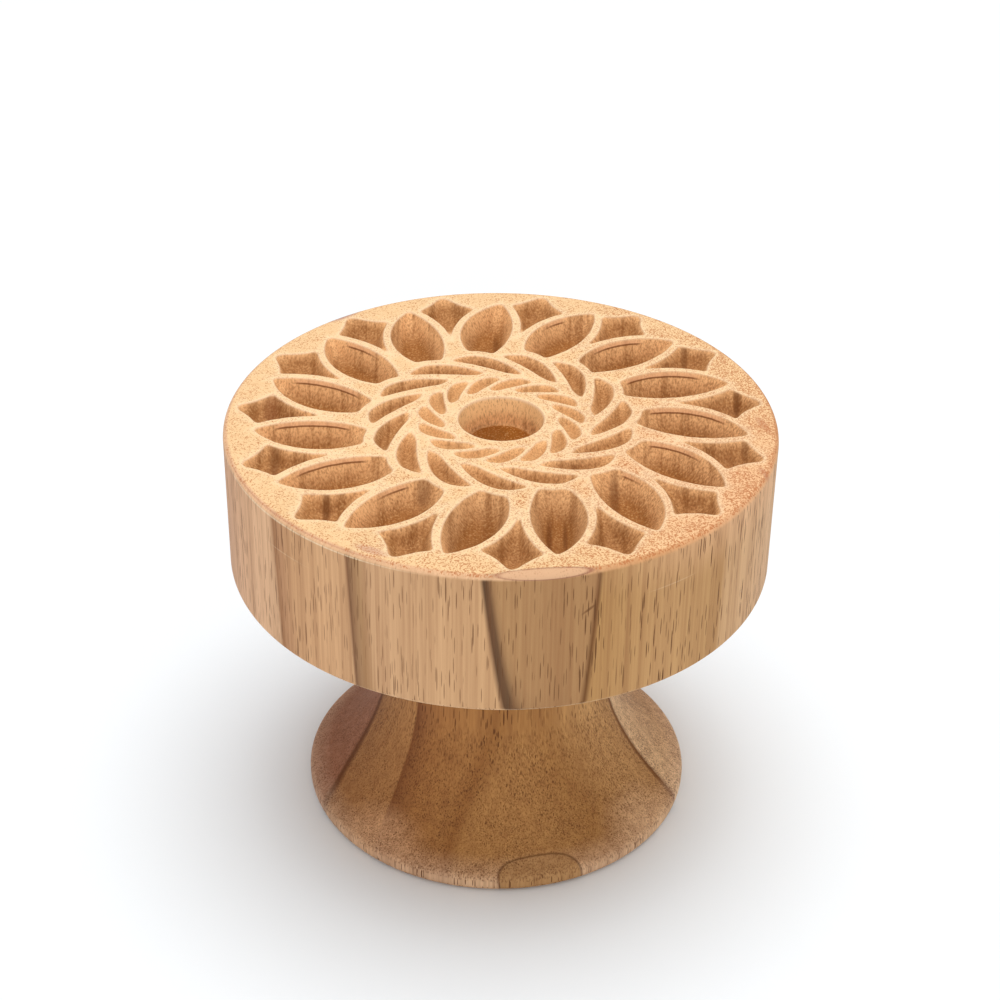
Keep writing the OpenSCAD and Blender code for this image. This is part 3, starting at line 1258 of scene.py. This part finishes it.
@dataclass
class CarvedHead:
    """The head: a turned disc with the rosette carved into the end grain of its upper face."""

    node: str = "stamp_head"
    edge_radius: float = 0.9
    rim_land: float = 1.4
    socket_radius: float = 6.1
    socket_depth: float = 12.5
    segments: int = 480
    edge_steps: int = 7
    sharp_angle: float = 50
    weld: float = 1e-6
    piece: bpy.types.Object | None = None

    def __post_init__(self) -> None:
        """Takes the head's size and place from its CAD node."""
        low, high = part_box(self.node)
        self.radius = high.x / MM
        self.low = low.z / MM
        self.high = high.z / MM
        self.flat = self.radius - self.edge_radius
        self.rosette = Rosette(self.radius - self.rim_land)

    def profile(self) -> list[Pair]:
        """Lists radius and height of the turned side, from the face round to the socket."""
        upper = []
        for i in range(1, self.edge_steps + 1):
            turn = math.pi / 2 * i / self.edge_steps
            drop = self.edge_radius * (1 - math.cos(turn))
            upper.append((self.flat + self.edge_radius * math.sin(turn), self.high - drop))
        lower = [(radius, self.low + self.high - height) for radius, height in reversed(upper)]
        top = self.low + self.socket_depth
        socket = [(self.socket_radius, self.low), (self.socket_radius, top), (0.0, top)]
        return [*upper, *lower, (self.flat, self.low), *socket]

    def build(self) -> None:
        """Builds the mesh: the carved face as one triangulated sheet, the rest as turned rings."""
        ring_places = circle(self.segments)
        flat_points = np.vstack([self.flat * ring_places, self.rosette.mesh_points(self.flat)])
        corners = [Vector(point) for point in flat_points]
        sheet, _, triangles, origins, *_ = delaunay_2d_cdt(corners, [], [], 0, self.weld)
        places = np.array([point[:] for point in sheet])
        points = [np.column_stack([places, self.high - self.rosette.depth(places)])]
        faces = [list(face) for face in triangles]
        came_from = {source: index for index, found in enumerate(origins) for source in found}
        ring = [came_from[i] for i in range(self.segments)]
        count = len(places)
        for radius, height in self.profile():
            if radius == 0:
                points.append(np.array([[0.0, 0.0, height]]))
                faces += [[a, count, b] for a, b in zip(ring, ring[1:] + ring[:1])]
                break
            points.append(np.column_stack([radius * ring_places, np.full(self.segments, height)]))
            following = list(range(count, count + self.segments))
            for i in range(self.segments):
                j = (i + 1) % self.segments
                faces.append([ring[i], following[i], following[j], ring[j]])
            ring = following
            count += self.segments
        vertices = np.vstack(points)
        mesh = bpy.data.meshes.new("carved_head")
        mesh.from_pydata((vertices * MM).tolist(), [], faces)
        mesh.shade_smooth()
        mesh.set_sharp_from_angle(angle=math.radians(self.sharp_angle))
        self.mark_cuts(mesh, places)
        self.piece = bpy.data.objects.new("carved_head", mesh)
        bpy.context.scene.collection.objects.link(self.piece)
        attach(self.piece, BODY)
        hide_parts(self.node)
        LOG.info("%s: %d points, %d faces", self.piece.name, len(vertices), len(faces))

    def mark_cuts(self, mesh: bpy.types.Mesh, places: np.ndarray) -> None:
        """Writes on the mesh where the wood is cut and where painted highlight and painted shade go,
        for the finish to colour.

        Args:
            mesh: The head's mesh, whose first points are those of the face.
            places: The face's points, one per row.
        """
        shares = {
            "carved": self.rosette.carved_share(places),
            "lip": self.rosette.lip_highlight_share(places),
            "floor_grain_and_shade": self.rosette.floor_grain_and_shade_share(places),
            "tool_line": self.rosette.tool_line(places),
        }
        for name, share in shares.items():
            values = np.zeros(len(mesh.vertices), np.float32)
            values[: len(places)] = share
            layer = mesh.attributes.new(name, "FLOAT", "POINT")
            layer.data.foreach_set("value", values)

    def dress(self) -> None:
        """Gives the head pale walnut, darker cuts in its pockets, and painted shade and highlights."""
        tones = CarvedTones(
            face_height=self.high,
            line_depth=self.rosette.tool_line_depth,
            # The lip tone is a painted highlight along the pockets' lips.
            lip="#FBE2BA",
            lip_highlight_share=0.38,
            wall="#F0B880",
            # The floor tone is torn end grain, darkened further as painted shade.
            floor="#925618",
            # The band tone is painted light above the cutter's line, and the line tone painted shade in
            # it.
            band="#E6AC80",
            line="#74401A",
            layers=POCKET_LAYERS,
            marks=POCKET_MARKS,
        )
        wood = Walnut(
            name="turned_walnut_sapwood",
            left_rings=HEAD_LEFT_RINGS,
            right_rings=HEAD_RIGHT_RINGS,
            pith=(6.3, -49.4),
            pith_lean=0.1,
            right_taper=0.043,
            top=self.high,
            end_grain="#F4D09E",
            end_share=0.9,
            edge="#EEC096",
            right_edge="#CF8F56",
            edge_share=0.8,
            shade="#8A5A38",
            end_shade="#D69C64",
            end_fibre_share=0.6,
            pore="#644024",
            end_pore="#A8683A",
            pore_share=1.0,
            end_pore_share=0.55,
            left_pore_share=0.7,
            speckle="#BC7648",
            speckle_share=0.85,
            speckle_from=0.5,
            speckle_starts=(0.57, 0.48),
            speckle_size=0.2,
            marks=HEAD_MARKS,
            carving=tones,
        )
        material = wood.material()
        self.piece.data.materials.append(material)
        LOG.info("%s: dressed in %s", self.piece.name, material.name)


# Tones of the handle's growth rings, in the same way as the head's.
HANDLE_LEFT_RINGS: Rings = (
    (1.0, "#C09058"),
    (11.5, "#BC8A52"),
    (13.3, "#9C6A3A"),
    (15.0, "#B07C48"),
    (19.5, "#AC7644"),
    (22.6, "#8A5834"),
    (23.2, "#774628"),
    (23.5, "#B88452"),
    (32.4, "#AA784C"),
    (32.9, "#552C1C"),
    (33.4, "#552C1C"),
    (33.9, "#A4705A"),
    (60.0, "#A06E58"),
)
HANDLE_RIGHT_RINGS: Rings = (
    (1.0, "#C09058"),
    (11.5, "#B0804A"),
    (18.0, "#D0A068"),
    (23.9, "#D0A068"),
    (24.4, "#6A3E1E"),
    (24.75, "#6A3E1E"),
    (25.1, "#FFD8A8"),
    (32.0, "#F0C698"),
    (42.0, "#D8AA7C"),
    (60.0, "#CC9C72"),
)
# Marks in the handle: painted light on the rim, which gets light from the front and the floor
# while the flare above lies in the head's shadow, two paler patches above it, and at the front of
# the foot the heart of a ring with its dark outline.
HANDLE_MARKS = (
    # Painted light on the foot's rim.
    WoodOrLightMark("#F4D0B0", 0.75, (0.0, 0.0, 1.3), (60.0, 60.0, 3.2), softness=0.9),
    WoodOrLightMark("#ECC49C", 0.45, (19.0, -14.0, 3.5), (8.0, 7.0, 4.0), (0, 0, 40), 0.9),
    WoodOrLightMark("#E2B084", 0.65, (-14.5, -18.0, 3.0), (8.0, 6.0, 4.0), (0, 0, -40), 0.8),
    WoodOrLightMark("#4E2E16", 0.7, (6.6, -26.9, 1.0), (5.9, 4.5, 9.0), (0, -9, 14), 0.05, MarkForm.SQUARED),
    WoodOrLightMark("#B88C5C", 1.0, (6.6, -26.9, 1.0), (5.65, 4.28, 8.8), (0, -9, 14), 0.05, MarkForm.SQUARED),
)


@dataclass
class TurnedHandle:
    """The handle: a turned grip that flares to a broad foot."""

    node: str = "handle"

    def dress(self) -> None:
        """Gives the handle redder walnut from nearer the heart of the blank."""
        wood = Walnut(
            name="turned_walnut_heartwood",
            left_rings=HANDLE_LEFT_RINGS,
            right_rings=HANDLE_RIGHT_RINGS,
            pith=(6.7, -26.0),
            pith_lean=0.0,
            right_taper=0.0,
            top=0.0,
            end_grain="#A06A34",
            end_share=0.2,
            edge="#A06A34",
            right_edge="#A06A34",
            edge_share=0.2,
            shade="#7A4A2A",
            end_shade="#7A4A2A",
            end_fibre_share=1.0,
            pore="#5A3218",
            end_pore="#5A3218",
            pore_share=0.9,
            end_pore_share=0.7,
            left_pore_share=1.0,
            speckle="#542A10",
            speckle_share=0.42,
            speckle_from=0.1,
            speckle_starts=(0.52, 0.52),
            speckle_size=0.18,
            marks=HANDLE_MARKS,
        )
        dress_node(self.node, wood.material())


@dataclass
class JoiningDowel:
    """The fluted dowel, sealed in the sockets of the head and the handle."""

    node: str = "joining_dowel"

    def dress(self) -> None:
        """Gives the dowel plain beech."""
        dress_node(self.node, Beech().material())


def dress_node(node: str, material: bpy.types.Material) -> None:
    """Gives a CAD node one material in place of its packed ones.

    Args:
        node: Name of the node.
        material: Material for all of it.
    """
    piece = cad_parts[node]
    piece.data.materials.clear()
    piece.data.materials.append(material)
    LOG.info("%s: dressed in %s", node, material.name)


@dataclass(frozen=True)
class SoftBox:
    """A round soft light that points at the stamp."""

    name: str
    place: Triple
    size: float
    power: float

    def hang(self) -> None:
        """Hangs the light in the scene."""
        lamp = bpy.data.lights.new(self.name, "AREA")
        lamp.shape = "DISK"
        lamp.size = self.size * MM
        lamp.energy = self.power
        box = bpy.data.objects.new(self.name, lamp)
        box.location = Vector(self.place) * MM
        box.rotation_euler = (-box.location).to_track_quat("-Z", "Y").to_euler()
        bpy.context.scene.collection.objects.link(box)


@dataclass
class Studio:
    """The photographer's table: paper floor, soft lights and the camera."""

    floor_size: float = 4000
    sky_level: float = 0.62
    key: SoftBox = SoftBox("key_softbox", (100, 140, 2400), 1800, 35.0)
    fill: SoftBox = SoftBox("front_fill", (60, -1500, 350), 1000, 5.5)
    camera_place: Triple = (0.0, -237.6, 197.0)
    camera_pitch: float = 32.743
    camera_roll: float = 0.806
    focal_length: float = 78.587
    sensor: float = 36
    nearest: float = 10

    def build(self) -> None:
        """Builds the floor, the lights and the camera."""
        self.lay_floor()
        self.hang_lights()
        self.set_camera()

    def lay_floor(self) -> None:
        """Lays the paper floor under the stamp."""
        half = self.floor_size / 2 * MM
        mesh = bpy.data.meshes.new("paper_floor")
        corners = [(-half, -half, 0), (half, -half, 0), (half, half, 0), (-half, half, 0)]
        mesh.from_pydata(corners, [], [(0, 1, 2, 3)])
        mesh.materials.append(StudioPaper().material())
        floor = bpy.data.objects.new("paper_floor", mesh)
        bpy.context.scene.collection.objects.link(floor)

    def hang_lights(self) -> None:
        """Hangs a large soft light overhead and a low one in front, in an even white room."""
        world = bpy.data.worlds.new("white_room")
        world.use_nodes = True
        background = world.node_tree.nodes["Background"]
        background.inputs["Color"].default_value = (1, 1, 1, 1)
        background.inputs["Strength"].default_value = self.sky_level
        bpy.context.scene.world = world
        self.key.hang()
        self.fill.hang()

    def set_camera(self) -> None:
        """Sets the camera where the photograph was taken from."""
        data = bpy.data.cameras.new("camera")
        data.sensor_width = self.sensor
        data.lens = self.focal_length
        data.clip_start = self.nearest * MM
        camera = bpy.data.objects.new("camera", data)
        tilt = Matrix.Rotation(math.radians(90 - self.camera_pitch), 4, "X")
        roll = Matrix.Rotation(math.radians(self.camera_roll), 4, "Z")
        camera.matrix_world = Matrix.Translation(Vector(self.camera_place) * MM) @ tilt @ roll
        bpy.context.scene.collection.objects.link(camera)
        bpy.context.scene.camera = camera


def main() -> None:
    """Builds and dresses the stamp."""
    logging.basicConfig(level=logging.INFO, format="%(message)s")
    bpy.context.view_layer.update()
    head = CarvedHead()
    head.build()
    head.dress()
    TurnedHandle().dress()
    JoiningDowel().dress()
    Studio().build()
    bpy.context.scene.view_settings.view_transform = "Standard"


if __name__ == "__main__":
    main()
